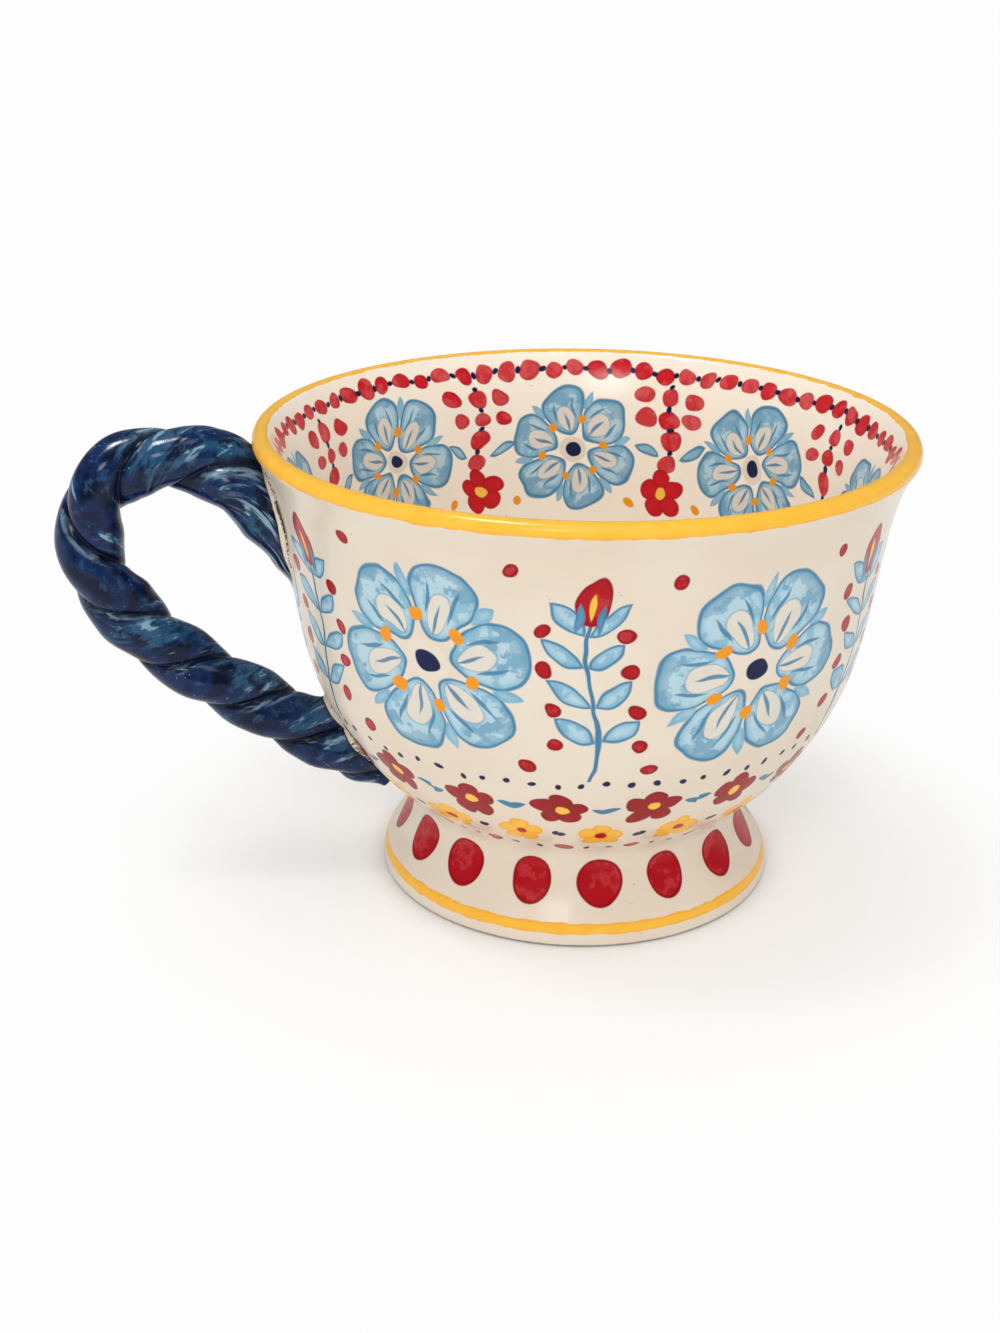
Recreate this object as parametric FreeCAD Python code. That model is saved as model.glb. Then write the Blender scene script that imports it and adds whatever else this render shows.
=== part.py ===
import FreeCAD, Part
import math
import os

os.makedirs("parts", exist_ok=True)

# Footed teacup with a rope handle, one piece of glazed pottery, in millimetres.
# The foot stands on z = 0, the cup turns about Z, and the handle lies in the XZ plane towards -X.

# Sizes of the bowl
cup_height = 86.9
rim_radius = 60.0
lip_thickness = 3.6
lip_flare = 34.0              # lean of the wall at the lip, in degrees from upright
wall_thickness = 4.2
belly_radius = 53.2
belly_height = 55.0
waist_radius = 31.8
waist_height = 14.3
floor_dish = 6.5              # how far the floor's middle lies below its edge

# Sizes of the foot
foot_radius = 37.4
foot_edge_height = 3.4
foot_edge_lean = 0.25
foot_edge_round = 0.9
foot_ring_width = 4.6
hollow_draft = 3.0
hollow_corner_round = 2.0
floor_thickness = 6.2

# Sizes of the rope that makes the handle
rope_thickness = 12.8
crease_depth = 1.45
rope_pitch = 28.2             # length of one full turn of the two strands
straight_length = 24.0        # stretch of the leaf along which the strands run straight
rope_start_turn = 175.5       # turn of the strands on that stretch, in degrees
leaf_length = 26.0            # flattened upper end
leaf_half_width = 9.0
leaf_tip_thickness = 1.6
leaf_tip_width = 5.0
low_tip_thickness = 5.0
low_tip_width = 6.4

# Course of the rope's centre line. Reach is measured out from the lip, stand out from the bowl's
# outside, drop down from the crown of the handle, and rise up from the waist.
crown_below_rim = 4.7
crown_reach = 11.8
leaf_tip_drop = 24.3
leaf_tip_stand = -2.5
leaf_middle_drop = 12.6
leaf_middle_stand = 1.4
root_drop = 3.9
root_stand = 5.2
upper_bend_reach = 24.5
upper_bend_drop = 3.1
far_reach = 28.9
far_drop = 15.0
lower_bend_reach = 22.2
lower_bend_drop = 29.6
low_run_reach = 8.7
low_run_drop = 41.6
meeting_rise = 14.6
meeting_stand = 7.4
low_tip_rise = 4.2
low_tip_stand = 2.4

# Where the bowl's lines are pinned down between their ends: share of the height, share of the radius
lower_bowl_shares = [(0.165, 0.245), (0.36, 0.55), (0.63, 0.83)]
upper_wall_share = (0.56, 0.36)
inner_line_shares = (0.80, 0.62, 0.44, 0.28, 0.17, 0.09)
floor_curve_share = (0.22, 0.55)
trumpet_shares = [(0.27, 0.66), (0.66, 0.22)]
trumpet_start_lean = 0.35     # run inwards for each millimetre up, where the trumpet starts

# How the rope swells in the leaf: share of the leaf's length, share of full depth, share of full width
leaf_swell = [(0.30, 0.62, 0.80), (0.59, 1.0, 1.0), (0.89, 1.04, 0.92)]
leaf_blend = 1.37             # where the leaf has become plain rope, in leaf lengths
low_taper_start = 1.25        # where the lower end starts to thin, in rope thicknesses from its tip
low_taper_middle = (0.60, 0.86, 0.96)

# How finely the rope is drawn: places along one lobe's outline, and sections in one full turn
lobe_shares = [0.0, 0.15, 0.32, 0.5, 0.68, 0.85, 1.0]
stations_per_turn = 7

UP = FreeCAD.Vector(0, 0, 1)
INWARD = FreeCAD.Vector(-1, 0, 0)
TOWARDS_FRONT = FreeCAD.Vector(0, -1, 0)


def point(radius, height):
    return FreeCAD.Vector(radius, 0.0, height)


def between(low, high, share):
    return low + (high - low) * share


def point_between(low, high, out_share, up_share):
    return point(between(low.x, high.x, out_share), between(low.z, high.z, up_share))


def curve_through(points, start, end):
    curve = Part.BSplineCurve()
    curve.interpolate(Points=points, InitialTangent=start, FinalTangent=end)
    return curve


# Lip: a round bead that ends the wall
lip_round = lip_thickness / 2.0
lip_centre = point(rim_radius - lip_round, cup_height - lip_round)
flare = math.radians(lip_flare)
lip_up = FreeCAD.Vector(math.sin(flare), 0.0, math.cos(flare))
lip_out = FreeCAD.Vector(math.cos(flare), 0.0, -math.sin(flare))
lip_outside = lip_centre + lip_out * lip_round
lip_top = lip_centre + lip_up * lip_round
lip_inside = lip_centre - lip_out * lip_round
lip_diagonal = lip_round * math.sqrt(0.5)
lip_outer_quarter = lip_centre + (lip_up + lip_out) * lip_diagonal
lip_inner_quarter = lip_centre + (lip_up - lip_out) * lip_diagonal

# Outside of the bowl, from the waist up to the lip
waist = point(waist_radius, waist_height)
belly = point(belly_radius, belly_height)
bowl_points = [waist]
for up_share, out_share in lower_bowl_shares:
    bowl_points.append(point_between(waist, belly, out_share, up_share))
bowl_points.append(belly)
bowl_points.append(point_between(belly, lip_outside, upper_wall_share[1], upper_wall_share[0]))
bowl_points.append(lip_outside)
bowl_line = curve_through(bowl_points, UP, lip_up)


def bowl_parameter(height):
    low = bowl_line.FirstParameter
    high = bowl_line.LastParameter
    for _ in range(40):
        middle = (low + high) / 2.0
        if bowl_line.value(middle).z < height:
            low = middle
        else:
            high = middle
    return (low + high) / 2.0


def bowl_radius(height):
    return bowl_line.value(bowl_parameter(height)).x


def inside_of_wall(height):
    parameter = bowl_parameter(height)
    along = bowl_line.tangent(parameter)[0]
    inward = FreeCAD.Vector(-along.z, 0.0, along.x)
    return bowl_line.value(parameter) + inward * wall_thickness


# Inside of the bowl, from the lip down to the middle of the dished floor
inner_points = [lip_inside]
for share in inner_line_shares:
    inner_points.append(inside_of_wall(between(waist_height, cup_height, share)))
floor_edge = inner_points[-1]
floor_middle = point(0.0, floor_edge.z - floor_dish)
inner_points.append(point_between(floor_middle, floor_edge, floor_curve_share[1], floor_curve_share[0]))
inner_points.append(floor_middle)
inner_line = curve_through(inner_points, lip_up * -1.0, INWARD)

# Outside of the foot: a rounded edge, then a trumpet up to the waist
corner = foot_edge_round * (1.0 - math.sqrt(0.5))
edge_low = point(foot_radius - foot_edge_round, 0.0)
edge_middle = point(foot_radius - corner, corner)
edge_high = point(foot_radius, foot_edge_round)
shoulder = point(foot_radius - foot_edge_lean, foot_edge_height)
trumpet_points = [shoulder]
for up_share, out_share in trumpet_shares:
    trumpet_points.append(point_between(waist, shoulder, out_share, 1.0 - up_share))
trumpet_points.append(waist)
foot_line = curve_through(trumpet_points, FreeCAD.Vector(-trumpet_start_lean, 0, 1), UP)

# Hollow under the foot, up to the underside of the floor
hollow_top = floor_middle.z - floor_thickness
ring_inside = point(foot_radius - foot_ring_width, 0.0)
ring_middle = point(ring_inside.x - foot_edge_round + corner, corner)
hollow_low = point(ring_inside.x - foot_edge_round, foot_edge_round)
hollow_side = point(hollow_low.x - hollow_draft, hollow_top - hollow_corner_round)
hollow_turn = hollow_corner_round * (1.0 - math.sqrt(0.5))
hollow_bend = point(hollow_side.x - hollow_turn, hollow_top - hollow_turn)
hollow_flat = point(hollow_side.x - hollow_corner_round, hollow_top)
hollow_middle = point(0.0, hollow_top)

cup_outline = [
    Part.Arc(edge_low, edge_middle, edge_high).toShape(),
    Part.makeLine(edge_high, shoulder),
    foot_line.toShape(),
    bowl_line.toShape(),
    Part.Arc(lip_outside, lip_outer_quarter, lip_top).toShape(),
    Part.Arc(lip_top, lip_inner_quarter, lip_inside).toShape(),
    inner_line.toShape(),
    Part.makeLine(floor_middle, hollow_middle),
    Part.makeLine(hollow_middle, hollow_flat),
    Part.Arc(hollow_flat, hollow_bend, hollow_side).toShape(),
    Part.makeLine(hollow_side, hollow_low),
    Part.Arc(hollow_low, ring_middle, ring_inside).toShape(),
    Part.makeLine(ring_inside, edge_low),
]
cup = Part.Face(Part.Wire(cup_outline)).revolve(FreeCAD.Vector(0, 0, 0), UP, 360.0)

# Space inside the bowl, which the roots of the handle don't enter
above_rim = cup_height + rope_thickness
cavity_outline = [
    inner_line.toShape(),
    Part.makeLine(floor_middle, point(0.0, above_rim)),
    Part.makeLine(point(0.0, above_rim), point(lip_inside.x, above_rim)),
    Part.makeLine(point(lip_inside.x, above_rim), lip_inside),
]
cavity = Part.Face(Part.Wire(cavity_outline)).revolve(FreeCAD.Vector(0, 0, 0), UP, 360.0)

# Centre line of the rope, from the leaf tip on the wall round to the lower tip under the bowl
crown_height = cup_height - crown_below_rim


def by_reach(reach, drop):
    return point(-(rim_radius + reach), crown_height - drop)


def by_stand(stand, height):
    return point(-(bowl_radius(height) + stand), height)


centre_line = Part.BSplineCurve()
centre_line.interpolate([
    by_stand(leaf_tip_stand, crown_height - leaf_tip_drop),
    by_stand(leaf_middle_stand, crown_height - leaf_middle_drop),
    by_stand(root_stand, crown_height - root_drop),
    by_reach(crown_reach, 0.0),
    by_reach(upper_bend_reach, upper_bend_drop),
    by_reach(far_reach, far_drop),
    by_reach(lower_bend_reach, lower_bend_drop),
    by_reach(low_run_reach, low_run_drop),
    by_stand(meeting_stand, waist_height + meeting_rise),
    by_stand(low_tip_stand, waist_height + low_tip_rise),
])
rope_length = centre_line.length()

# Size of the rope along its length: distance from the leaf tip, half depth, half width
half_rope = rope_thickness / 2.0
rope_sizes = [(0.0, leaf_tip_thickness / 2.0, leaf_tip_width / 2.0)]
for along_share, depth_share, width_share in leaf_swell:
    rope_sizes.append((leaf_length * along_share, half_rope * depth_share, leaf_half_width * width_share))
rope_sizes.append((leaf_length * leaf_blend, half_rope, half_rope))
rope_sizes.append((rope_length - rope_thickness * low_taper_start, half_rope, half_rope))
before_tip, depth_share, width_share = low_taper_middle
taper_middle = rope_length - rope_thickness * before_tip
rope_sizes.append((taper_middle, half_rope * depth_share, half_rope * width_share))
rope_sizes.append((rope_length, low_tip_thickness / 2.0, low_tip_width / 2.0))


def rope_size(distance):
    for low, high in zip(rope_sizes, rope_sizes[1:]):
        if distance <= high[0]:
            break
    share = min((distance - low[0]) / (high[0] - low[0]), 1.0)
    eased = share * share * (3.0 - 2.0 * share)
    return between(low[1], high[1], eased), between(low[2], high[2], eased)


def rope_turn(distance):
    past_straight = distance - straight_length
    twisted = (past_straight + math.hypot(past_straight, half_rope)) / 2.0
    return math.radians(rope_start_turn + 360.0 * twisted / rope_pitch)


def rope_section(distance):
    """Outline of the rope square to its centre line: two round lobes that meet in two creases."""
    parameter = centre_line.parameterAtDistance(distance, centre_line.FirstParameter)
    centre = centre_line.value(parameter)
    along = centre_line.tangent(parameter)[0]
    outward = FreeCAD.Vector(along.z, 0.0, -along.x)
    half_depth, half_width = rope_size(distance)
    turn = rope_turn(distance)
    crease = 1.0 - crease_depth / half_rope
    lobe_offset = (1.0 - crease * crease) / 2.0
    lobe_radius = 1.0 - lobe_offset
    first_angle = -math.asin(lobe_offset / lobe_radius)
    lobes = []
    for side in (1.0, -1.0):
        lobe = []
        for share in lobe_shares:
            angle = between(first_angle, math.pi - first_angle, share)
            across = side * lobe_radius * math.cos(angle)
            away = side * (lobe_offset + lobe_radius * math.sin(angle))
            depth = across * math.cos(turn) - away * math.sin(turn)
            width = across * math.sin(turn) + away * math.cos(turn)
            lobe.append(centre + outward * (depth * half_depth) + TOWARDS_FRONT * (width * half_width))
        lobes.append(lobe)
    lobes[1][0] = lobes[0][-1]
    lobes[1][-1] = lobes[0][0]
    edges = []
    for lobe in lobes:
        edge = Part.BSplineCurve()
        edge.interpolate(Points=lobe, Parameters=lobe_shares)
        edges.append(edge.toShape())
    return Part.Wire(edges)


stations = round(rope_length / rope_pitch * stations_per_turn)
sections = [rope_section(rope_length * number / stations) for number in range(stations + 1)]
rope = Part.makeLoft(sections, True, False)
handle = rope.cut(cavity)

teacup = cup.fuse(handle)
teacup = teacup.Solids[0]
print("rope", rope.isValid(), "length", round(rope_length, 1), "sections", len(sections))
print("teacup", teacup.isValid(), teacup.ShapeType, "volume", round(teacup.Volume, 1))
teacup.exportStep("parts/teacup.step")
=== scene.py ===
import bpy
import math
import numpy as np
from mathutils import Matrix, Vector


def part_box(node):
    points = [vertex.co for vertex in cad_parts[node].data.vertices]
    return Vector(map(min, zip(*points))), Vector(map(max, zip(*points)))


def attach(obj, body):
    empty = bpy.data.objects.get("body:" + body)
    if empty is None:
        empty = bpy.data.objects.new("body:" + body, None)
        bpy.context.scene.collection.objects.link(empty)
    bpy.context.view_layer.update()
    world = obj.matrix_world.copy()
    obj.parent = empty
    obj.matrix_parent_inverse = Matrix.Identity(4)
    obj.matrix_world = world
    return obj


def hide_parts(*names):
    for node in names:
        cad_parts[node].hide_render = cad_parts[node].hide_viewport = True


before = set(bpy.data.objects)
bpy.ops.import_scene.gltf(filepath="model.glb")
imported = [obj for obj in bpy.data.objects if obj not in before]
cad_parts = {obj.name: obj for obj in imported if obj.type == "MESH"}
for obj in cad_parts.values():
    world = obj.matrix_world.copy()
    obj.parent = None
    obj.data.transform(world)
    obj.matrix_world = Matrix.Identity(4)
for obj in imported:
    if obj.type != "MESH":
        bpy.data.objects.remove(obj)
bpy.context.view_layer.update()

# Sizes of the cup in millimetres, as in the part
RIM_RADIUS = 60.0
CUP_HEIGHT = 86.9
LIP_THICKNESS = 3.6
LIP_FLARE = math.radians(34.0)
WALL_THICKNESS = 4.2
BELLY = (53.2, 55.0)
WAIST = (31.8, 14.3)
LOWER_BOWL_SHARES = [(0.245, 0.165), (0.55, 0.36), (0.83, 0.63)]
UPPER_WALL_SHARE = (0.36, 0.56)
INNER_LINE_SHARES = [0.80, 0.62, 0.44, 0.28, 0.17, 0.09]
FLOOR_DISH = 6.5
FLOOR_CURVE_SHARE = (0.55, 0.22)
FLOOR_THICKNESS = 6.2
FOOT_RADIUS = 37.4
FOOT_EDGE_HEIGHT = 3.4
FOOT_EDGE_LEAN = 0.25
FOOT_EDGE_ROUND = 0.9
FOOT_RING_WIDTH = 4.6
TRUMPET_SHARES = [(0.66, 0.27), (0.22, 0.66)]
TRUMPET_LEAN = 0.35
HOLLOW_DRAFT = 3.0
HOLLOW_CORNER_ROUND = 2.0
RIM_SAG = 0.12
RIM_SAG_HEIGHT = 30.0

# Sizes of the rope handle in millimetres and degrees
ROPE_THICKNESS = 12.8
CREASE_DEPTH = 1.45
ROPE_PITCH = 28.2
ROPE_START_TURN = 175.5
STRAIGHT_LENGTH = 24.0
LEAF_LENGTH = 26.0
LEAF_HALF_WIDTH = 9.0
LEAF_TIP = (1.6, 5.0)
LEAF_SWELL = [(0.30, 0.62, 0.80), (0.59, 1.0, 1.0), (0.89, 1.04, 0.92)]
LEAF_BLEND = 1.37
LOW_TAPER_START = 1.25
LOW_TAPER_MIDDLE = (0.60, 0.86, 0.96)
LOW_TIP = (5.0, 6.4)
CROWN_DROP = 4.7
CROWN_HEIGHT = CUP_HEIGHT - CROWN_DROP
# Stand from the bowl and height of the centre line, from the leaf tip to the root
LEAF_COURSE = [(-2.5, CROWN_HEIGHT - 24.3), (1.4, CROWN_HEIGHT - 12.6), (5.2, CROWN_HEIGHT - 3.9)]
# Reach from the lip and drop from the crown
LOOP_COURSE = [(11.8, 0.0), (24.5, 3.1), (28.9, 15.0), (22.2, 29.6), (8.7, 41.6)]
# Stand from the bowl and height, where the rope meets the bowl again
LOW_COURSE = [(7.4, WAIST[1] + 14.6), (2.4, WAIST[1] + 4.2)]

# One millimetre of the sizes above, in the frame: the cup reaches +X with its rim
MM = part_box("teacup")[1][0] / RIM_RADIUS

# How finely the meshes are drawn
BOWL_SEGMENTS = 352
ROPE_STATIONS = 300
ROPE_AROUND = 128
FINE_POINTS = 2000
COURSE_POINTS = 4000
PROFILE_POINTS = {
    "inner": 76, "lip": 9, "outer": 64, "trumpet": 14, "edge": 4, "edge_round": 6,
    "ring": 4, "ring_round": 5, "side": 6, "corner": 6, "under": 12,
}

# The photograph's camera: it looks down at the cup's front, turned a little towards the handle's side
CAMERA_TURN = math.radians(-8.0)
CAMERA_TILT = math.radians(22.6)
CAMERA_ROLL = math.radians(0.51)
CAMERA_DISTANCE = 350.0
CAMERA_AIM = (-14.93, 0.0, 38.95)
CAMERA_LENS = 49.77
CAMERA_FILM = 36.0
CAMERA_NEAR = 0.01


# Colours, as they look on a screen from 0 to 255

def colour(red, green, blue):
    """Linear light of a screen colour."""
    values = []
    for part in (red, green, blue):
        share = part / 255.0
        values.append(share / 12.92 if share <= 0.04045 else ((share + 0.055) / 1.055) ** 2.4)
    return (*values, 1.0)


CREAM = colour(231, 219, 202)
# The inside's cream is the same glaze painted lighter: painted light that brightens the inside
CREAM_INSIDE_PAINTED_LIGHT = colour(251, 240, 223)
CREAM_WARM = colour(225, 208, 188)
# The inside's warm cream, painted lighter as well: painted light on the inside
CREAM_INSIDE_WARM_PAINTED_LIGHT = colour(247, 232, 212)
RED = colour(176, 8, 24)
# A lighter copy of RED for the inside's spots and florets: painted light that brightens the inside
RED_PAINTED_LIGHT_INSIDE = colour(204, 20, 34)
RED_DEEP = colour(134, 0, 14)
RED_FLORET = colour(156, 0, 14)
RED_THIN = colour(216, 92, 92)
YELLOW = colour(252, 194, 68)
YELLOW_DEEP = colour(244, 170, 40)
ORANGE = colour(240, 152, 28)
NAVY = colour(14, 26, 70)
BLUE_WASH = colour(182, 211, 222)
BLUE_POOL = colour(118, 172, 200)
BLUE_LINE = colour(66, 126, 162)
HANDLE_NAVY = colour(15, 39, 82)
HANDLE_DEEP = colour(4, 12, 36)
HANDLE_STEEL = colour(54, 92, 126)
HANDLE_TEAL = colour(32, 80, 114)
HANDLE_PALE = colour(142, 174, 194)
SPECK = colour(150, 112, 74)
CLAY = colour(214, 188, 156)
CLAY_DARK = colour(188, 158, 124)
# Dark line round the foot's lower edge: painted contact shadow
CONTACT_SHADOW_PAINT = colour(112, 96, 82)


# Lines of the cup's profile, as (radius, height) in millimetres

def lengths_along(line):
    """How far each point of a line is from its first, along it."""
    return np.concatenate(([0.0], np.cumsum(np.linalg.norm(np.diff(line, axis=0), axis=1))))


def spans(stops, places):
    """The span between two stops that each place lies in, and how far through it."""
    steps = np.interp(places, stops, np.arange(len(stops)))
    span = np.minimum(steps.astype(int), len(stops) - 2)
    return span, (steps - span)[:, None]


def smooth_line(points, start, end, count):
    """A smooth curve through points. start and end are its directions there, or None."""
    points = np.array(points, float)
    steps = np.linalg.norm(np.diff(points, axis=0), axis=1)
    slopes = np.diff(points, axis=0) / steps[:, None]
    last = len(points) - 1
    rows = np.zeros((last + 1, last + 1))
    values = np.zeros_like(points)
    for i in range(1, last):
        rows[i, i - 1] = steps[i]
        rows[i, i] = 2.0 * (steps[i - 1] + steps[i])
        rows[i, i + 1] = steps[i - 1]
        values[i] = 3.0 * (steps[i] * slopes[i - 1] + steps[i - 1] * slopes[i])
    for row, near, direction, slope in ((0, 1, start, slopes[0]), (last, last - 1, end, slopes[-1])):
        if direction is None:
            rows[row, row] = 2.0
            rows[row, near] = 1.0
            values[row] = 3.0 * slope
        else:
            rows[row, row] = 1.0
            values[row] = np.array(direction) / np.linalg.norm(direction)
    directions = np.linalg.solve(rows, values)
    knots = lengths_along(points)
    span, share = spans(knots, np.linspace(0.0, knots[-1], count))
    size = steps[span][:, None]
    low, high = points[span], points[span + 1]
    low_pull, high_pull = directions[span] * size, directions[span + 1] * size
    return (
        (2 * share**3 - 3 * share**2 + 1) * low
        + (share**3 - 2 * share**2 + share) * low_pull
        + (-2 * share**3 + 3 * share**2) * high
        + (share**3 - share**2) * high_pull
    )


def arc_line(centre, radius, start, end, count):
    """Points of an arc, with its angles in degrees from the outward direction."""
    angles = np.radians(np.linspace(start, end, count))
    return np.column_stack((centre[0] + radius * np.cos(angles), centre[1] + radius * np.sin(angles)))


def point_between(low, high, shares):
    return (low[0] + (high[0] - low[0]) * shares[0], low[1] + (high[1] - low[1]) * shares[1])


LIP_ROUND = LIP_THICKNESS / 2.0
LIP_CENTRE = np.array((RIM_RADIUS - LIP_ROUND, CUP_HEIGHT - LIP_ROUND))
LIP_UP = np.array((math.sin(LIP_FLARE), math.cos(LIP_FLARE)))
LIP_OUT = np.array((math.cos(LIP_FLARE), -math.sin(LIP_FLARE)))
LIP_OUTSIDE = LIP_CENTRE + LIP_OUT * LIP_ROUND
LIP_INSIDE = LIP_CENTRE - LIP_OUT * LIP_ROUND
FOOT_TOP = (FOOT_RADIUS - FOOT_EDGE_LEAN, FOOT_EDGE_HEIGHT)


def bowl_line(count):
    points = [WAIST]
    for shares in LOWER_BOWL_SHARES:
        points.append(point_between(WAIST, BELLY, shares))
    points.append(BELLY)
    points.append(point_between(BELLY, LIP_OUTSIDE, UPPER_WALL_SHARE))
    points.append(LIP_OUTSIDE)
    return smooth_line(points, (0.0, 1.0), LIP_UP, count)


BOWL = bowl_line(FINE_POINTS)
BOWL_SLOPE = np.gradient(BOWL[:, 0], BOWL[:, 1])


def bowl_radius(height):
    return np.interp(height, BOWL[:, 1], BOWL[:, 0])


def inner_line(count):
    points = [LIP_INSIDE]
    for share in INNER_LINE_SHARES:
        height = WAIST[1] + (CUP_HEIGHT - WAIST[1]) * share
        slope = np.interp(height, BOWL[:, 1], BOWL_SLOPE)
        inward = np.array((-1.0, slope)) / math.hypot(1.0, slope)
        points.append(np.array((bowl_radius(height), height)) + inward * WALL_THICKNESS)
    floor_middle = (0.0, points[-1][1] - FLOOR_DISH)
    points.append(point_between(floor_middle, points[-1], FLOOR_CURVE_SHARE))
    points.append(floor_middle)
    return smooth_line(points, -LIP_UP, (-1.0, 0.0), count)


def cup_profile():
    """The profile from the middle of the floor over the lip to the middle of the underside, and its rows
    at the lip's crest and at the foot's lower edge."""
    count = PROFILE_POINTS
    inner = inner_line(count["inner"])[::-1]
    lip_angle = math.degrees(-LIP_FLARE)
    lip_in = arc_line(LIP_CENTRE, LIP_ROUND, 180.0 + lip_angle, 90.0 + lip_angle, count["lip"])
    lip_out = arc_line(LIP_CENTRE, LIP_ROUND, 90.0 + lip_angle, lip_angle, count["lip"])
    outer = bowl_line(count["outer"])[::-1]
    trumpet = [FOOT_TOP]
    for out, up in TRUMPET_SHARES:
        trumpet.append(point_between(WAIST, FOOT_TOP, (out, 1.0 - up)))
    trumpet.append(WAIST)
    foot = smooth_line(trumpet, (-TRUMPET_LEAN, 1.0), (0.0, 1.0), count["trumpet"])[::-1]
    edge_middle = (FOOT_RADIUS - FOOT_EDGE_ROUND, FOOT_EDGE_ROUND)
    edge = np.linspace(FOOT_TOP, (FOOT_RADIUS, FOOT_EDGE_ROUND), count["edge"])
    edge_round = arc_line(edge_middle, FOOT_EDGE_ROUND, 0.0, -90.0, count["edge_round"])
    ring_inside = (FOOT_RADIUS - FOOT_RING_WIDTH, FOOT_EDGE_ROUND)
    hollow_top = inner[0][1] - FLOOR_THICKNESS
    ring = np.linspace(edge_round[-1], (ring_inside[0], 0.0), count["ring"])
    ring_round = arc_line(ring_inside, FOOT_EDGE_ROUND, -90.0, -180.0, count["ring_round"])
    side_top = (ring_inside[0] - FOOT_EDGE_ROUND - HOLLOW_DRAFT, hollow_top - HOLLOW_CORNER_ROUND)
    side = np.linspace(ring_round[-1], side_top, count["side"])
    corner_middle = (side_top[0] - HOLLOW_CORNER_ROUND, side_top[1])
    corner = arc_line(corner_middle, HOLLOW_CORNER_ROUND, 0.0, 90.0, count["corner"])
    under = np.linspace(corner[-1], (0.0, hollow_top), count["under"])
    bowl = (inner, lip_in, lip_out, outer)
    base = (foot, edge, edge_round, ring, ring_round, side, corner, under)
    rows = [inner[0]]
    ends = []
    for stretch in bowl + base:
        rows.extend(stretch[1:])
        ends.append(len(rows) - 1)
    return np.array(rows), ends[1], ends[6]


def wave(depth, phase):
    """A ripple between 0 and twice its depth."""
    return depth * (1.0 + np.sin(phase))


def hand_wobble(angle, height):
    """How far the hand-thrown wall lies inside the true circle, in millimetres."""
    return (
        wave(0.10, 2.0 * angle + 0.7)
        + wave(0.05, 3.0 * angle - 0.05 * height + 1.9)
        + wave(0.03, 5.0 * angle + 0.03 * height + 2.3)
        + wave(0.02, 0.9 * height + 1.5 * np.sin(angle))
    )


# Meshes

def add_mesh(name, places, faces, body="root"):
    mesh = bpy.data.meshes.new(name)
    mesh.from_pydata((places * MM).tolist(), [], faces)
    mesh.polygons.foreach_set("use_smooth", [True] * len(faces))
    piece = bpy.data.objects.new(name, mesh)
    bpy.context.scene.collection.objects.link(piece)
    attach(piece, body)
    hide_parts("teacup")
    return piece


def add_numbers(piece, name, values):
    """Keeps one number, or one vector, for each vertex."""
    kind = "FLOAT" if values.ndim == 1 else "FLOAT_VECTOR"
    field = "value" if values.ndim == 1 else "vector"
    attribute = piece.data.attributes.new(name, kind, "POINT")
    attribute.data.foreach_set(field, values.astype(np.float32).ravel())


def add_map(piece, corners):
    """Keeps the place of each face corner on a flat sheet, from 0 to 1."""
    layer = piece.data.uv_layers.new(name="OFBake")
    layer.data.foreach_set("uv", np.array(corners, np.float32).ravel())


# Strips of the bowl's inside and outside on its flat sheet: left, low, right, high. One stands upright.
STRIPS = [[(6, 722, 528, 1018), (711, 6, 1018, 528)], [(6, 6, 703, 356), (6, 364, 703, 714)]]
UPRIGHT_STRIP = (0, 1)
UNDERSIDE_DISC = (864, 690, 150)    # middle and radius
SHEET = 1024.0


def skin_faces(rows, columns, corner, flip=False):
    """Faces of a skin whose first and last rows are one vertex each, and their corners on the flat sheet."""
    faces, corners = [], []
    for row in range(rows - 1):
        for column in range(columns):
            loop = [(row, column), (row + 1, column), (row + 1, column + 1), (row, column + 1)]
            if row == 0:
                loop.pop()
            elif row == rows - 2:
                loop.pop(2)
            if flip:
                loop[1:] = loop[:0:-1]
            vertices = [1 + (r - 1) * columns + c % columns for r, c in loop]
            faces.append([min(max(vertex, 0), 1 + (rows - 2) * columns) for vertex in vertices])
            corners.extend(corner(r, c, (row, column)) for r, c in loop)
    return faces, corners


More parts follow.
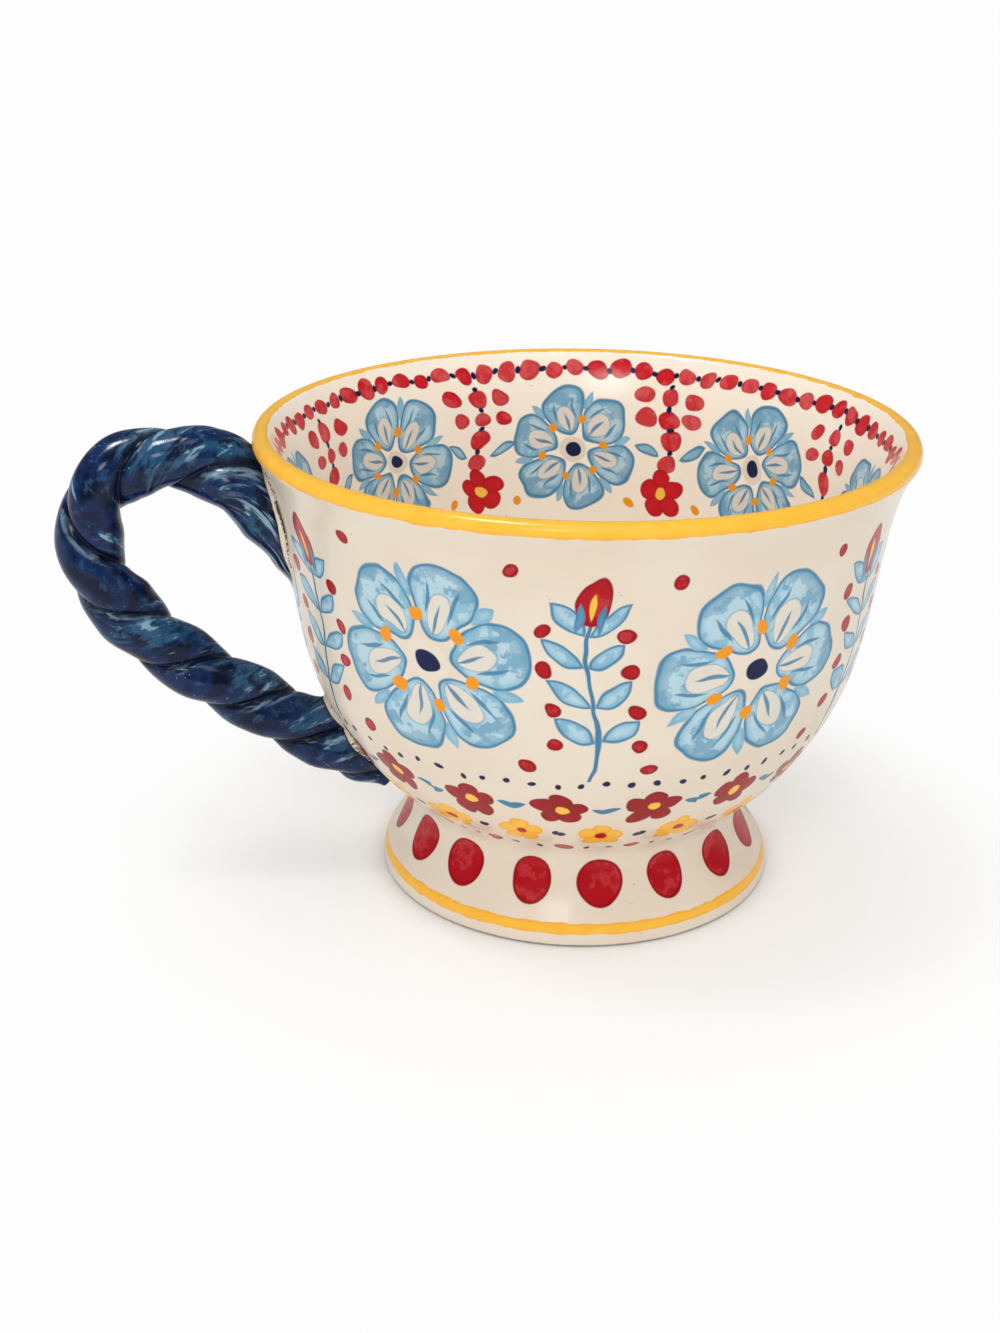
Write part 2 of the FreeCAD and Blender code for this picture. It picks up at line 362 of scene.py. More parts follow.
def make_bowl():
    profile, crest, foot_edge = cup_profile()
    travelled = lengths_along(profile)
    from_crest = np.abs(travelled - travelled[crest])
    angles = np.arange(BOWL_SEGMENTS) * 2.0 * math.pi / BOWL_SEGMENTS
    radius = profile[1:-1, :1]
    height = profile[1:-1, 1:]
    inset = hand_wobble(angles, height) * radius / RIM_RADIUS
    reach = radius - inset * np.clip((height - 0.5) / FOOT_EDGE_HEIGHT, 0.0, 1.0)
    sag = wave(RIM_SAG, 2.0 * angles + 2.0) * np.clip((height - BELLY[1]) / RIM_SAG_HEIGHT, 0.0, 1.0)
    rings = np.stack((reach * np.cos(angles), reach * np.sin(angles), height - sag), axis=-1)
    places = np.vstack(((0.0, 0.0, profile[0][1]), rings.reshape(-1, 3), (0.0, 0.0, profile[-1][1])))
    strip_lengths = (from_crest[0], from_crest[foot_edge])

    def part_of(row):
        """0 inside, 1 outside and 2 underneath."""
        return int(row >= crest) + int(row >= foot_edge)

    def corner(row, column, face):
        part = part_of(face[0])
        if part == 2:
            x, y, radius = UNDERSIDE_DISC
            angle = column * 2.0 * math.pi / BOWL_SEGMENTS
            reach = profile[row][0] / FOOT_RADIUS * radius
            return ((x + reach * math.cos(angle)) / SHEET, (y + reach * math.sin(angle)) / SHEET)
        half = int(face[1] >= BOWL_SEGMENTS // 2)
        left, low, right, high = STRIPS[part][half]
        across = (column - half * BOWL_SEGMENTS / 2) / (BOWL_SEGMENTS / 2)
        up = from_crest[row] / strip_lengths[part]
        if (part, half) == UPRIGHT_STRIP:
            across, up = up, across
        return ((left + (right - left) * across) / SHEET, (low + (high - low) * up) / SHEET)

    faces, corners = skin_faces(len(profile), BOWL_SEGMENTS, corner)
    bowl = add_mesh("cup_body", places, faces)
    face_parts = np.repeat([part_of(row) for row in range(len(profile) - 1)], BOWL_SEGMENTS)
    bowl.data.polygons.foreach_set("material_index", face_parts.tolist())
    row_sizes = [1] + [BOWL_SEGMENTS] * (len(profile) - 2) + [1]
    add_numbers(bowl, "from_crest", np.repeat(from_crest, row_sizes))
    add_map(bowl, corners)
    return bowl


def handle_course():
    """Centre line of the rope at even distances: places and directions, in the handle's plane."""
    points = [(-(bowl_radius(height) + stand), height) for stand, height in LEAF_COURSE]
    points += [(-(RIM_RADIUS + reach), CROWN_HEIGHT - drop) for reach, drop in LOOP_COURSE]
    points += [(-(bowl_radius(height) + stand), height) for stand, height in LOW_COURSE]
    line = smooth_line(points, None, None, COURSE_POINTS)
    travelled = lengths_along(line)
    distance = np.linspace(0.0, travelled[-1], ROPE_STATIONS)
    places = np.column_stack([np.interp(distance, travelled, line[:, axis]) for axis in (0, 1)])
    along = np.gradient(places, axis=0)
    return distance, places, along / np.linalg.norm(along, axis=1)[:, None]


def rope_sizes(distance):
    """Half depth and half width of the rope at each distance from the leaf tip."""
    half = ROPE_THICKNESS / 2.0
    end = distance[-1]
    stops = [(0.0, LEAF_TIP[0] / 2.0, LEAF_TIP[1] / 2.0)]
    for place, depth, width in LEAF_SWELL:
        stops.append((LEAF_LENGTH * place, half * depth, LEAF_HALF_WIDTH * width))
    stops.append((LEAF_LENGTH * LEAF_BLEND, half, half))
    stops.append((end - ROPE_THICKNESS * LOW_TAPER_START, half, half))
    before, depth, width = LOW_TAPER_MIDDLE
    stops.append((end - ROPE_THICKNESS * before, half * depth, half * width))
    stops.append((end, LOW_TIP[0] / 2.0, LOW_TIP[1] / 2.0))
    stops = np.array(stops)
    span, share = spans(stops[:, 0], distance)
    eased = share * share * (3.0 - 2.0 * share)
    sizes = stops[span, 1:] * (1.0 - eased) + stops[span + 1, 1:] * eased
    return sizes[:, 0], sizes[:, 1]


def wall_distance(place):
    """How far a place lies outside the bowl's wall, in millimetres."""
    reach = np.hypot(place[..., 0], place[..., 1])
    height = place[..., 2]
    inset = hand_wobble(np.arctan2(place[..., 1], place[..., 0]), height)
    slope = np.interp(height, BOWL[:, 1], BOWL_SLOPE)
    from_wall = (reach + inset - bowl_radius(height)) / np.hypot(1.0, slope)
    from_bead = np.hypot(reach - LIP_CENTRE[0], height - LIP_CENTRE[1]) - LIP_ROUND
    return np.where(height > LIP_OUTSIDE[1], from_bead, from_wall)


def blended(first, second, reach):
    """The smaller of two distances, rounded where they are within reach of each other."""
    share = np.clip(0.5 + 0.5 * (second - first) / reach, 0.0, 1.0)
    return second * (1.0 - share) + first * share - reach * share * (1.0 - share)


FILLET_REACH = 3.2      # how far the clay is smeared between rope and wall
FILLET_TOP = 82.5       # height above which the rope only touches the lip, with hardly any smear
FILLET_FADE = 8.0       # height over which the smear fades out below that
FILLET_LEAST = 0.02     # share of the smear that is left there
ROOT_DEPTH = 1.0        # how deep the handle's mesh runs into the wall
ROOT_SHARE = 0.1        # size of the rope where it runs on inside the wall
SKIRT_SINK = 0.04       # how deep the smeared edge dips under the wall's surface
GROWTH = 4.5            # the most that the smear stands out from the rope
RAY_SLANT = 0.92        # how straight the rays through the rope leave its surface
SEARCH_STEPS = 90
CREASE_CUT = (0.06, 0.17)       # added depth of the creases, and its width
LEAF_GROOVES = np.radians((118.0, 82.0, 52.0))     # grooves pressed along the leaf, round the rope
GROOVE_CUT = (0.055, 0.10)      # their depth and width
GROOVE_TURN = 0.004             # how far they turn round the rope for each millimetre
GROOVE_SHARES = (0.2, 0.5, 1.35)    # they start, fade and end at these shares of the leaf's length
MAP_MARGIN = 0.01


def strand_outline(distance, around):
    """How far the strands' surface lies from the rope's middle, as a share of the rope's half size."""
    crease = 1.0 - CREASE_DEPTH / (ROPE_THICKNESS / 2.0)
    lobe_offset = (1.0 - crease * crease) / 2.0
    lobe_radius = 1.0 - lobe_offset
    unit = lobe_offset * np.abs(np.sin(around))
    unit = unit + np.sqrt(lobe_radius**2 - (lobe_offset * np.cos(around)) ** 2)
    depth, width = CREASE_CUT
    cut = depth * np.exp(-(np.sin(around) / width) ** 2)
    pinch = wave(0.014, 0.27 * distance + 2.0 * around + 0.6)
    pinch = pinch + wave(0.010, 0.61 * distance - around + 1.1 * np.sin(0.17 * distance))
    pinch = pinch + wave(0.005, 1.37 * distance + 3.0 * around)
    start, fade, end = GROOVE_SHARES
    in_leaf = np.clip((LEAF_LENGTH * end - distance) / (LEAF_LENGTH * fade), 0.0, 1.0)
    in_leaf = in_leaf * np.clip(distance / (LEAF_LENGTH * start), 0.0, 1.0)
    depth, width = GROOVE_CUT
    for place in LEAF_GROOVES:
        away = np.angle(np.exp(1j * (around - place - GROOVE_TURN * (distance - LEAF_LENGTH))))
        cut = cut + depth * in_leaf * np.exp(-(away / width) ** 2)
    return unit - cut - pinch


def skin_reach(centre, ray, surface):
    """How far along each ray the handle's skin lies: on the strands' surface, further out where clay is
    smeared onto the wall, and no deeper in the wall than ROOT_DEPTH."""
    stretch = np.linalg.norm(ray, axis=-1)
    farthest = surface + GROWTH / stretch
    found = np.full(surface.shape, np.nan)
    before_blend = np.full(surface.shape, -1.0)
    before_wall = wall_distance(centre + ray * 0.0)
    before_step = np.zeros(surface.shape)
    for number in range(1, SEARCH_STEPS + 1):
        step = farthest * number / SEARCH_STEPS
        place = centre + ray * step[..., None]
        wall = wall_distance(place)
        smear = FILLET_REACH * np.clip((FILLET_TOP - place[..., 2]) / FILLET_FADE, FILLET_LEAST, 1.0)
        blend = blended((step - surface) * stretch * RAY_SLANT, wall + SKIRT_SINK, smear)
        open_now = np.isnan(found) & (blend >= 0.0)
        share = np.clip(-before_blend / np.maximum(blend - before_blend, 1e-6), 0.0, 1.0)
        found = np.where(open_now, before_step + (step - before_step) * share, found)
        sunk_now = np.isnan(found) & (wall < -ROOT_DEPTH) & (before_wall >= -ROOT_DEPTH)
        found = np.where(sunk_now, step, found)
        before_blend, before_wall, before_step = blend, wall, step
    return np.where(np.isnan(found), ROOT_SHARE, found)


def rope_corner(row, column, face):
    span = 1.0 - 2.0 * MAP_MARGIN
    return (MAP_MARGIN + span * (row - 1) / (ROPE_STATIONS - 1), MAP_MARGIN + span * column / ROPE_AROUND)


def make_handle():
    distance, places, along = handle_course()
    half_depth, half_width = rope_sizes(distance)
    past_straight = distance - STRAIGHT_LENGTH
    twisted = (past_straight + np.hypot(past_straight, ROPE_THICKNESS / 2.0)) / 2.0
    turn = np.radians(ROPE_START_TURN + 360.0 * twisted / ROPE_PITCH)[:, None]
    around = (np.arange(ROPE_AROUND) * 2.0 * math.pi / ROPE_AROUND)[None, :]
    surface = strand_outline(distance[:, None], around)
    outward = np.column_stack((along[:, 1], np.zeros(len(along)), -along[:, 0]))
    front = np.array((0.0, -1.0, 0.0))
    ray = (np.cos(around + turn) * half_depth[:, None])[..., None] * outward[:, None, :]
    ray = ray + (np.sin(around + turn) * half_width[:, None])[..., None] * front
    centre = np.column_stack((places[:, 0], np.zeros(len(places)), places[:, 1]))[:, None, :]
    shell = centre + ray * skin_reach(centre, ray, surface)[..., None]
    vertices = np.concatenate((centre[0], shell.reshape(-1, 3), centre[-1]))
    faces, corners = skin_faces(ROPE_STATIONS + 2, ROPE_AROUND, rope_corner, flip=True)
    handle = add_mesh("rope_handle", vertices, faces)
    strand_radius = ROPE_THICKNESS / 2.0
    around = around * np.ones_like(turn)
    from_crease = np.abs(np.sin(around))
    spread = np.stack((distance[:, None] * np.ones_like(around), strand_radius * np.cos(around),
                       strand_radius * np.sin(around)), axis=-1).reshape(-1, 3)
    add_numbers(handle, "wall_gap", wall_distance(vertices))
    add_numbers(handle, "from_crease", np.concatenate(((1.0,), from_crease.ravel(), (1.0,))))
    add_numbers(handle, "strand", np.vstack(((distance[0], 0.0, 0.0), spread, (distance[-1], 0.0, 0.0))))
    add_map(handle, corners)
    return handle


# Shader numbers: sums of nodes, written as arithmetic

def feed(socket, value):
    """Gives a socket a number, a colour or the output of a node."""
    if isinstance(value, Number):
        value = value.socket
    if isinstance(value, bpy.types.NodeSocket):
        socket.id_data.links.new(value, socket)
    else:
        socket.default_value = value


def feed_named(node, **values):
    """Feeds a node's inputs by name, with _ for each space."""
    for name, value in values.items():
        feed(node.inputs[name.replace("_", " ")], value)


def new_node(tree, kind, *values, **named):
    node = tree.nodes.new("ShaderNode" + kind)
    for slot, value in enumerate(values):
        feed(node.inputs[slot], value)
    feed_named(node, **named)
    return node


def sum_of(operation, swapped=False):
    """A Number's arithmetic, with itself alone or with another Number or a plain one."""
    if swapped:
        return lambda self, other: self.node(operation, other, self)
    return lambda self, *others: self.node(operation, self, *others)


class Number:
    """A number that changes over a surface, held as the output of a shader node."""

    def __init__(self, socket):
        self.socket = socket
        self.tree = socket.id_data

    def node(self, operation, *values):
        node = new_node(self.tree, "Math", *values)
        node.operation = operation
        return Number(node.outputs[0])

    __add__ = __radd__ = sum_of("ADD")
    __mul__ = __rmul__ = sum_of("MULTIPLY")
    __sub__ = sum_of("SUBTRACT")
    __rsub__ = sum_of("SUBTRACT", swapped=True)
    __truediv__ = sum_of("DIVIDE")
    __abs__ = sum_of("ABSOLUTE")
    least = sum_of("MINIMUM")
    most = sum_of("MAXIMUM")
    sine = sum_of("SINE")
    cosine = sum_of("COSINE")
    rounded = sum_of("ROUND")

    def __neg__(self):
        return self * -1.0

    def clamped(self):
        return self.most(0.0).least(1.0)


def length(x, y):
    both = new_node(x.tree, "CombineXYZ", x, y)
    node = new_node(x.tree, "VectorMath", both.outputs[0])
    node.operation = "LENGTH"
    return Number(node.outputs["Value"])


def parts(place):
    node = new_node(place.id_data, "SeparateXYZ", place)
    return [Number(output) for output in node.outputs]


def scaled(place, scales):
    """A vector with each of its three numbers scaled."""
    node = new_node(place.id_data, "VectorMath", place, scales)
    node.operation = "MULTIPLY"
    return node.outputs[0]


def place_in_mm(tree):
    return scaled(new_node(tree, "TexCoord").outputs["Object"], (1.0 / MM,) * 3)


def kept(tree, name):
    """What add_numbers kept under a name."""
    node = new_node(tree, "Attribute")
    node.attribute_name = name
    return node.outputs


def kept_number(tree, name):
    return Number(kept(tree, name)["Fac"])


def cloud(place, scale, detail=2.0, roughness=0.5, warp=0.0, output="Fac"):
    """Cloudy noise from 0 to 1, with its middle near 0.5."""
    node = new_node(place.id_data, "TexNoise", Vector=place, Scale=scale, Detail=detail,
                    Roughness=roughness, Distortion=warp)
    return Number(node.outputs[output])


def chance(cell, salt):
    """A fixed number from 0 to 1 for each whole number."""
    node = new_node(cell.tree, "TexWhiteNoise")
    node.noise_dimensions = "1D"
    feed_named(node, W=cell + salt)
    return Number(node.outputs["Value"])


def shift(cell, salt, span):
    """A fixed shift for each whole number, up to half of span either way."""
    return (chance(cell, salt) - 0.5) * span


def ramp(value, low, high):
    """0 at low and 1 at high, with a smooth way between."""
    node = new_node(value.tree, "MapRange", Value=value, From_Min=low, From_Max=high)
    node.interpolation_type = "SMOOTHSTEP"
    return Number(node.outputs["Result"])


def painted(under, over, share):
    """Colour over another, where share is 1."""
    node = new_node(share.tree, "Mix")
    node.data_type = "RGBA"
    for slot, value in ((0, share), (6, under), (7, over)):
        feed(node.inputs[slot], value)
    return node.outputs[2]


def mixed(output, share, first, second):
    """One shader where share is 0, the other where it is 1."""
    mix = new_node(output.id_data, "MixShader", share, first.outputs[0], second.outputs[0])
    feed(output.inputs[0], mix.outputs[0])


def new_material(name):
    material = bpy.data.materials.new(name)
    material.use_nodes = True
    tree = material.node_tree
    tree.nodes.clear()
    surface = new_node(tree, "BsdfPrincipled")
    output = new_node(tree, "OutputMaterial", surface.outputs[0])
    return material, tree, surface, output


# Painted shapes. Each takes a place in millimetres and gives how far inside the shape it lies.

PAINT_EDGE = 0.13       # softness of a painted edge
OUTLINE = 0.26          # half width of a brushed outline
FINE_OUTLINE = 0.22


def stroke_edge(inside):
    return ramp(inside, -PAINT_EDGE, PAINT_EDGE)


def dot(x, y, radius):
    return radius - length(x, y)


def oval(x, y, half_across, half_up):
    return (1.0 - length(x / half_across, y / half_up)) * min(half_across, half_up)


def turned(x, y, cosine, sine):
    return x * cosine + y * sine, y * cosine - x * sine


def folded(x, y, count, turn=0.0):
    """The same place in one of count like sectors: distance out along its middle line, and across it."""
    step = 2.0 * math.pi / count
    angle = x.node("ARCTAN2", y, x) + turn
    local = angle - (angle / step).rounded() * step
    radius = length(x, y)
    return radius * local.cosine(), radius * local.sine()


def petal(along, across, near, far, half_width, swell=0.35):
    """An egg-shaped petal, broad at its far end."""
    half = (far - near) / 2.0
    u = (along - (near + half)) / half
    v = across / ((u * swell + 1.0) * half_width)
    return (1.0 - length(u, v)) * half_width


def blade(along, across, start, end, half_width):
    """A pointed leaf between two places on its middle line."""
    half = (end - start) / 2.0
    bow = (half * half + half_width * half_width) / (2.0 * half_width)
    return bow - length(along - (start + half), abs(across) + (bow - half_width))


class Painting:
    """Colours laid over one another on a ground. tone is how unevenly the paint lies."""

    def __init__(self, ground, tone=None):
        self.colour = ground
        self.tone = tone

    def tint(self, colour, share):
        self.colour = painted(self.colour, colour, share)

    def lay(self, colour, inside, strength=1.0):
        """Paints a colour where inside is above 0."""
        share = stroke_edge(inside)
        self.tint(colour, share if strength == 1.0 else share * strength)

    def wash(self, thin, pooled, inside, depth=1.6):
        """Lays a colour that is darker where it has pooled along its edge."""
        share = ramp(inside, depth, 0.0) * 0.75 + (self.tone - 0.5) * 1.3 + 0.12
        self.lay(painted(thin, pooled, share.clamped()), inside)


def blue_shape(art, inside, outline=FINE_OUTLINE):
    """A blue shape with a second, smaller wash that dried with a hard edge, and a brushed outline."""
    art.wash(BLUE_WASH, BLUE_POOL, inside)
    art.lay(BLUE_POOL, ((art.tone - 0.53) * 14.0).least(inside - 0.5), 0.55)
    art.lay(BLUE_LINE, outline - abs(inside - outline * 0.4), 0.9)


class Wall:
    """Where a spot lies on the cup's wall, as the painter's hand sees it."""

    DRIFT = 3.4         # how far the hand drifts from an even spacing, in millimetres
    DRIFT_SCALE = 0.13

    def __init__(self, tree):
        self.place = place_in_mm(tree)
        x, y, self.height = parts(self.place)
        self.radius = length(x, y)
        drift_x, drift_y, _ = parts(cloud(self.place, self.DRIFT_SCALE, 1.2, output="Color").socket)
        self.true_angle = x.node("ARCTAN2", y, x)
        self.angle = self.true_angle + (drift_x - 0.5) * self.DRIFT / self.radius
        self.from_crest = kept_number(tree, "from_crest")
        self.down = self.from_crest + (drift_y - 0.5) * self.DRIFT
        self.tone = cloud(self.place, 0.30, 3.0, 0.6)
        self.grain = cloud(self.place, 1.4)

    def cells(self, count, first_degrees, steady=0.0):
        """Splits the wall into like cells round the cup: the cell's number, and the way across it. steady is
        the share of the hand's drift that is left out."""
        step = 2.0 * math.pi / count
        angle = self.angle * (1.0 - steady) + self.true_angle * steady if steady else self.angle
        turns = (angle - math.radians(first_degrees)) / step
        near = turns.rounded()
        number = near.node("FLOORED_MODULO", near, float(count))
        return number, (turns - near) * step * self.radius

    def row(self, count, first_degrees, down, span=0.0, salt=0.0):
        """Cells of a row: number, way across, and way down from the row. Each cell lies up to half of span
        higher or lower."""
        number, x = self.cells(count, first_degrees)
        y = self.down - down
        return number, x, y - shift(number, salt, span) if span else y

    def rungs(self, down, pitch, last):
        """Steps down a string, numbered from 0 to last: the nearest step, and the way down from it."""
        rung = ((self.down - down) / pitch).rounded().most(0.0).least(last)
        return rung, self.down - down - rung * pitch


# Parts of the blossom as shares of its radius: from and to along a petal's middle line, and half width
BLOSSOM_PETALS = 6
BLOSSOM_PETAL = (0.24, 1.0, 0.315)
BLOSSOM_HEART = (0.30, 0.72, 0.125)
BLOSSOM_VEIN = (0.28, 0.62, 0.022)
BLOSSOM_SIDE_VEIN = (0.46, 0.80, 0.020)
BLOSSOM_SPROUT = (0.62, 0.95, 0.055)
SIDE_VEIN_OFFSET = 0.15
POOLED_END = 0.80
BEAD_PLACE = 0.46
BEAD_RADIUS = 0.068
EYE_RADIUS = 0.155


def blossom(art, x, y, size, spin=None):
    """A blue blossom with six petals, a navy eye and orange beads. size is its radius."""

    def sized(shares):
        return [share * size for share in shares]

    if spin is not None:
        x, y = turned(x, y, spin.cosine(), spin.sine())
    along, across = folded(x, y, BLOSSOM_PETALS)
    inside = petal(along, across, *sized(BLOSSOM_PETAL))
    blue_shape(art, inside, OUTLINE)
    pooled_end = (along - POOLED_END * size + (art.tone - 0.5) * 0.9 * size).least(inside - 0.35)
    art.lay(BLUE_LINE, pooled_end, 0.34)
    heart = petal(along, across, *sized(BLOSSOM_HEART), swell=0.2)
    art.lay(BLUE_LINE, 0.11 - abs(heart), 0.75)
    art.lay(CREAM, heart, 0.85)
    vein = blade(along, across, *sized(BLOSSOM_VEIN))
    side_vein = blade(along, abs(across) - SIDE_VEIN_OFFSET * size, *sized(BLOSSOM_SIDE_VEIN))
    art.lay(BLUE_LINE, vein.most(side_vein), 0.9)
    along, across = folded(x, y, BLOSSOM_PETALS, math.pi / BLOSSOM_PETALS)
    art.wash(BLUE_WASH, BLUE_POOL, blade(along, across, *sized(BLOSSOM_SPROUT)))
    art.lay(ORANGE, dot(along - BEAD_PLACE * size, across, BEAD_RADIUS * size))
    eye = dot(x, y, EYE_RADIUS * size)
    art.lay(CREAM, eye + 0.05 * size)
    art.lay(NAVY, eye - 0.035 * size)


def red_spot(art, inside, watery=None):
    """A spot of red glaze, darker at its edge, that lets the ground through where the brush left it thin.
    watery, where given, is how thin and bright the whole spot is, and such a spot starts from a lighter red:
    painted light for the inside."""
    deep = ramp(inside, 0.8, 0.1) * 0.7
    thin = ramp(art.tone, 0.50, 0.60) * ramp(art.tone, 0.72, 0.62) * 0.26
    if watery is None:
        thick = painted(RED, RED_DEEP, deep)
    else:
        share = watery * 0.5 + ramp(art.tone, 0.42, 0.60) * 0.45 - 0.18
        # The lighter red base of these inside spots is painted light
        thick = painted(painted(RED_PAINTED_LIGHT_INSIDE, RED, deep), RED_THIN, share.clamped())
    art.lay(painted(thick, RED_THIN, thin * ramp(inside, 0.3, 0.6)), inside)


def floret(art, x, y, size, petal_colours, eye_colour):
    """A small flower with five round petals."""
    along, across = folded(x, y, 5, 0.3)
    petals = dot(along - 0.58 * size, across, 0.40 * size)
    art.wash(*petal_colours, petals, 0.9)
    art.lay(eye_colour, dot(x, y, 0.24 * size))


# The sprig, in millimetres: shapes from and to along their middle line, and half width
STEM = (0.36, 17.5, 1.5)        # half width, half length and sway
LEAF_PITCH = 7.0
LEAF_SLANT = math.radians(52.0)
SPRIG_LEAF = (0.6, 8.6, 1.55)
BERRY = (6.9, 2.0, 1.45)        # place to the side and down, and radius
BUD = (14.0, 23.0, 2.9)
BUD_HEART = (15.0, 20.0, 0.5)
SEPAL = (12.6, 18.1, 0.75)
SEPAL_SIDE = 1.9


def sprig(art, x, y, number):
    """A stem with paired leaves and red berries. y is measured from the sprig's middle, down the wall."""
    half_width, half_length, sway = STEM
    x = x - (y * 0.16 + number * 1.7).sine() * sway
    side = abs(x)
    art.lay(BLUE_LINE, (half_width - side).least(half_length - abs(y)))
    pair = (y / LEAF_PITCH).rounded().least(1.0).most(-2.0)
    local = y - pair * LEAF_PITCH
    along, across = turned(side, -local + 2.0, math.sin(LEAF_SLANT), math.cos(LEAF_SLANT))
    blue_shape(art, blade(along, across, *SPRIG_LEAF))
    red_spot(art, dot(side - BERRY[0], local - BERRY[1], BERRY[2]))
    red_spot(art, petal(-y, x, *BUD, swell=-0.25))
    art.lay(YELLOW, blade(-y, x, *BUD_HEART))
    art.wash(BLUE_POOL, BLUE_LINE, blade(-y, side - SEPAL_SIDE, *SEPAL))


def yellow_band(art, inside):
    art.wash(YELLOW, YELLOW_DEEP, inside, 0.5)


def cream_glaze(wall, cream=CREAM, warm=CREAM_WARM):
    """A painting's ground: cream glaze, a little warmer in patches and with fine brown specks."""
    ground = painted(cream, warm, ramp(cloud(wall.place, 0.05, 3.0), 0.38, 0.72) * 0.5)
    specks = new_node(wall.place.id_data, "TexVoronoi", Vector=wall.place, Scale=0.42)
    rare = ramp(cloud(wall.place, 0.11, 1.0), 0.56, 0.62)
    near = ramp(Number(specks.outputs["Distance"]), 0.085, 0.05)
    art = Painting(ground, wall.tone)
    art.tint(SPECK, near * rare * 0.55)
    return art


INSIDE_GLOSS = 0.30
OUTSIDE_GLOSS = 0.20
HANDLE_GLOSS = 0.23
GLAZE_IOR = 1.5
POOLING_STRENGTH = 0.22
POOLING_HEIGHT = 0.0006     # in metres


def finish_glaze(glaze, place, colour, roughness, gloss):
    """Glossy glaze with a faint unevenness, as it pooled in the kiln."""
    height = cloud(place, 0.12, 2.5, 0.55)
    bump = new_node(place.id_data, "Bump", Height=height, Strength=POOLING_STRENGTH, Distance=POOLING_HEIGHT)
    feed_named(glaze, Base_Color=colour, Roughness=roughness, IOR=GLAZE_IOR, Specular_IOR_Level=gloss,
               Normal=bump.outputs[0])


def finish_wall(glaze, wall, art, gloss):
    finish_glaze(glaze, wall.place, art.colour, ramp(wall.grain, 0.25, 0.8) * 0.08 + 0.16, gloss)


# Rows of ornaments: how many, degrees from +X to the first, way down from the lip, and span of the shifts
BLOSSOM_ROW = (6, -128.0, 29.5, 2.4)
SPRIG_ROW = (6, -98.0, 32.5)
NAVY_DOT_ROW = (72, -104.0, 51.0, 0.5)
RED_FLORET_ROW = (18, -104.0, 57.5, 1.2)
YELLOW_FLORET_ROW = (18, -94.0, 67.0, 1.0)
RED_DOT_ROW = (18, -104.0, 74.5)
INNER_BEAD_ROW = (72, -98.0, 6.0, 0.8)
INNER_NAVY_ROW = (72, -95.5, 6.0)
INNER_BLOSSOM_ROW = (8, -98.0, 22.0, 1.6)
LOW_BEAD_ROW = (40, -98.0, 45.0)
LOW_NAVY_ROW = (40, -93.5, 45.0)
LOW_LEAF_ROW = (20, -98.0, 52.0)
LOW_ORANGE_ROW = (20, -89.0, 56.0)
# Strings of beads that hang between the inner blossoms
STRINGS = (8, -75.5)
STRING_TOP = 11.0
STRING_PITCH = 4.5
STRING_SIDE = 5.6
PENDANT_DOWN = 30.6
STRING_LEAF_DOWN = 24.5
STRING_ORANGE_DOWN = 33.0
# Sizes, in millimetres
BLOSSOM_SIZE = 18.3
CORNER_DOT = (16.0, 18.2, 1.35)     # way across and down from the blossom, and radius
INNER_BLOSSOM_SIZE = 13.2
FLOOR_BLOSSOM_SIZE = 13.0
RED_FLORET_SIZE = 5.0
YELLOW_FLORET_SIZE = 4.6
PENDANT_SIZE = 4.9
STRING_LEAF = (2.6, 7.2, 1.0)
FLORET_LEAF = (5.4, 9.8, 0.85)
LOW_LEAF = (0.0, 9.0, 2.0)
SMALL_DOT = 0.6
ROW_DOT = 0.62
# Ovals on the foot: how many, the first one's place, height, half width and half height
FOOT_OVALS = (16, -92.0)
FOOT_OVAL_HEIGHT = 10.8
FOOT_OVAL_SIZE = (3.9, 4.1)
FOOT_BAND = (3.45, 0.95)        # height of the yellow band's middle, and its half width
CONTACT_SHADOW_HEIGHT = 0.42             # a painted contact shadow darkens the foot below this height
RIM_BAND = 2.3                  # how far the yellow runs down from the crest, outside and inside
INNER_RIM_BAND = 2.2


